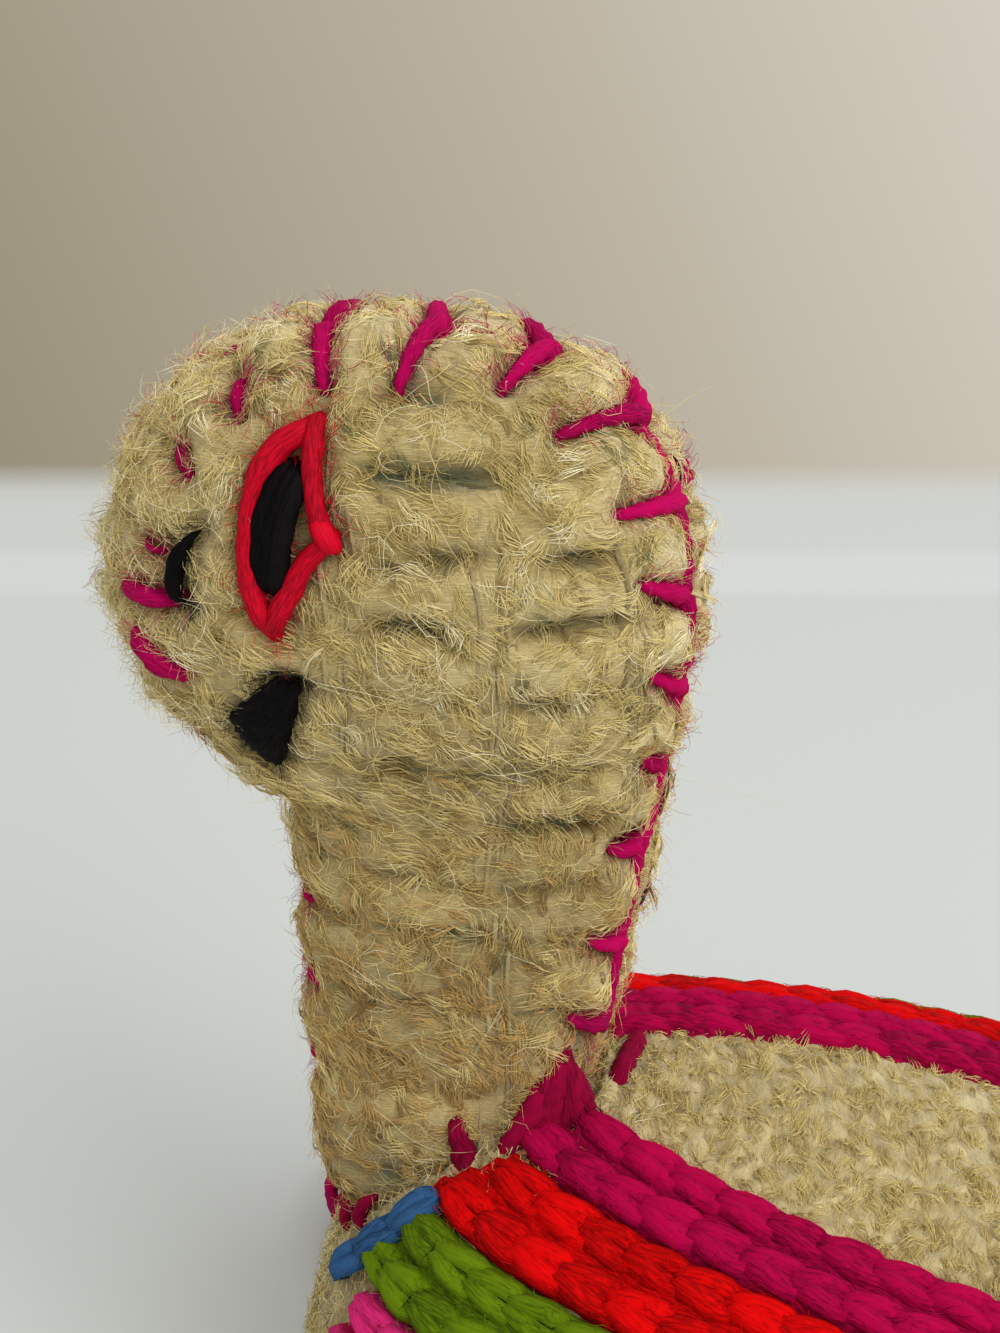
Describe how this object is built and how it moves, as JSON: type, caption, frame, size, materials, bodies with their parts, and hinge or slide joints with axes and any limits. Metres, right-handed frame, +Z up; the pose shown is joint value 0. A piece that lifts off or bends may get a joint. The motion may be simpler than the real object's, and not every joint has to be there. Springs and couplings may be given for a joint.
{
  "type": "plush turtle",
  "caption": "Hand-sewn wool turtle with a domed embroidered shell, a tall neck and head that nods, paddle legs and a short tail.",
  "frame": {"origin": "on the flat of the belly that the turtle rests on, under the middle of the body", "axes": "-Y the way the turtle faces, +X its left side, +Z up"},
  "size_m": [0.0848, 0.1246, 0.0981],
  "materials": {
    "cream_cloth": "thick hand-woven wool cloth with a fuzzy surface",
    "cream_limb_cloth": "thinner hand-woven wool cloth with a fuzzy surface",
    "wool_fill": "loose carded wool",
    "magenta_yarn": "matt 4-ply wool yarn",
    "red_yarn": "matt 4-ply wool yarn",
    "eye_red_yarn": "matt 4-ply wool yarn",
    "green_yarn": "matt 4-ply wool yarn, loosely stitched",
    "pink_yarn": "matt 4-ply wool yarn",
    "blue_yarn": "matt 4-ply wool yarn",
    "black_yarn": "smooth black yarn in satin stitch"
  },
  "bodies": {
    "body": {"shell_cover": "cream_cloth", "belly_panel": "cream_cloth", "body_fill": "wool_fill", "rim_seam_yarn": "magenta_yarn", "neck_base_yarn": "magenta_yarn", "band_magenta_left": "magenta_yarn", "band_magenta_right": "magenta_yarn", "band_red_left": "red_yarn", "band_red_right": "red_yarn", "band_green_left": "green_yarn", "band_green_right": "green_yarn", "band_pink_left": "pink_yarn", "band_pink_right": "pink_yarn", "band_blue_left": "blue_yarn", "band_blue_right": "blue_yarn", "front_row_left": "blue_yarn", "front_row_right": "blue_yarn"},
    "head": {"head_panel_left": "cream_cloth", "head_panel_right": "cream_cloth", "head_fill": "wool_fill", "head_seam_yarn": "magenta_yarn", "eye_outline_left": "eye_red_yarn", "eye_outline_right": "eye_red_yarn", "eye_centre_left": "black_yarn", "eye_centre_right": "black_yarn", "nostril_left": "black_yarn", "nostril_right": "black_yarn", "mouth_left": "black_yarn", "mouth_right": "black_yarn"},
    "leg_front_left": {"leg_front_left_upper_panel": "cream_limb_cloth", "leg_front_left_lower_panel": "cream_limb_cloth", "leg_front_left_fill": "wool_fill", "leg_front_left_edge_yarn": "magenta_yarn"},
    "leg_front_right": {"leg_front_right_upper_panel": "cream_limb_cloth", "leg_front_right_lower_panel": "cream_limb_cloth", "leg_front_right_fill": "wool_fill", "leg_front_right_edge_yarn": "magenta_yarn"},
    "leg_rear_left": {"leg_rear_left_upper_panel": "cream_limb_cloth", "leg_rear_left_lower_panel": "cream_limb_cloth", "leg_rear_left_fill": "wool_fill", "leg_rear_left_edge_yarn": "magenta_yarn"},
    "leg_rear_right": {"leg_rear_right_upper_panel": "cream_limb_cloth", "leg_rear_right_lower_panel": "cream_limb_cloth", "leg_rear_right_fill": "wool_fill", "leg_rear_right_edge_yarn": "magenta_yarn"},
    "tail": {"tail_upper_panel": "cream_limb_cloth", "tail_lower_panel": "cream_limb_cloth", "tail_fill": "wool_fill", "tail_edge_yarn": "magenta_yarn"}
  },
  "joints": [
    {"name": "neck_nod", "type": "hinge", "parent": "body", "child": "head", "pos_m": [0, -0.0382, 0.0375], "axis": [1, 0, 0], "range_deg": [-12, 12], "stiffness_Nm_per_rad": 0.1},
    {"name": "leg_front_left_lift", "type": "hinge", "parent": "body", "child": "leg_front_left", "pos_m": [0.02425, -0.03937, 0.0048], "axis": [-0.6939, -0.7201, 0], "range_deg": [0, 25], "stiffness_Nm_per_rad": 0.02},
    {"name": "leg_front_right_lift", "type": "hinge", "parent": "body", "child": "leg_front_right", "pos_m": [-0.02425, -0.03937, 0.0048], "axis": [-0.6939, 0.7201, 0], "range_deg": [0, 25], "stiffness_Nm_per_rad": 0.02},
    {"name": "leg_rear_left_lift", "type": "hinge", "parent": "body", "child": "leg_rear_left", "pos_m": [0.02514, 0.0384, 0.0048], "axis": [0.6634, -0.7482, 0], "range_deg": [0, 25], "stiffness_Nm_per_rad": 0.02},
    {"name": "leg_rear_right_lift", "type": "hinge", "parent": "body", "child": "leg_rear_right", "pos_m": [-0.02514, 0.0384, 0.0048], "axis": [0.6634, 0.7482, 0], "range_deg": [0, 25], "stiffness_Nm_per_rad": 0.02},
    {"name": "tail_lift", "type": "hinge", "parent": "body", "child": "tail", "pos_m": [0, 0.04985, 0.008], "axis": [1, 0, 0], "range_deg": [-20, 25], "stiffness_Nm_per_rad": 0.01}
  ]
}
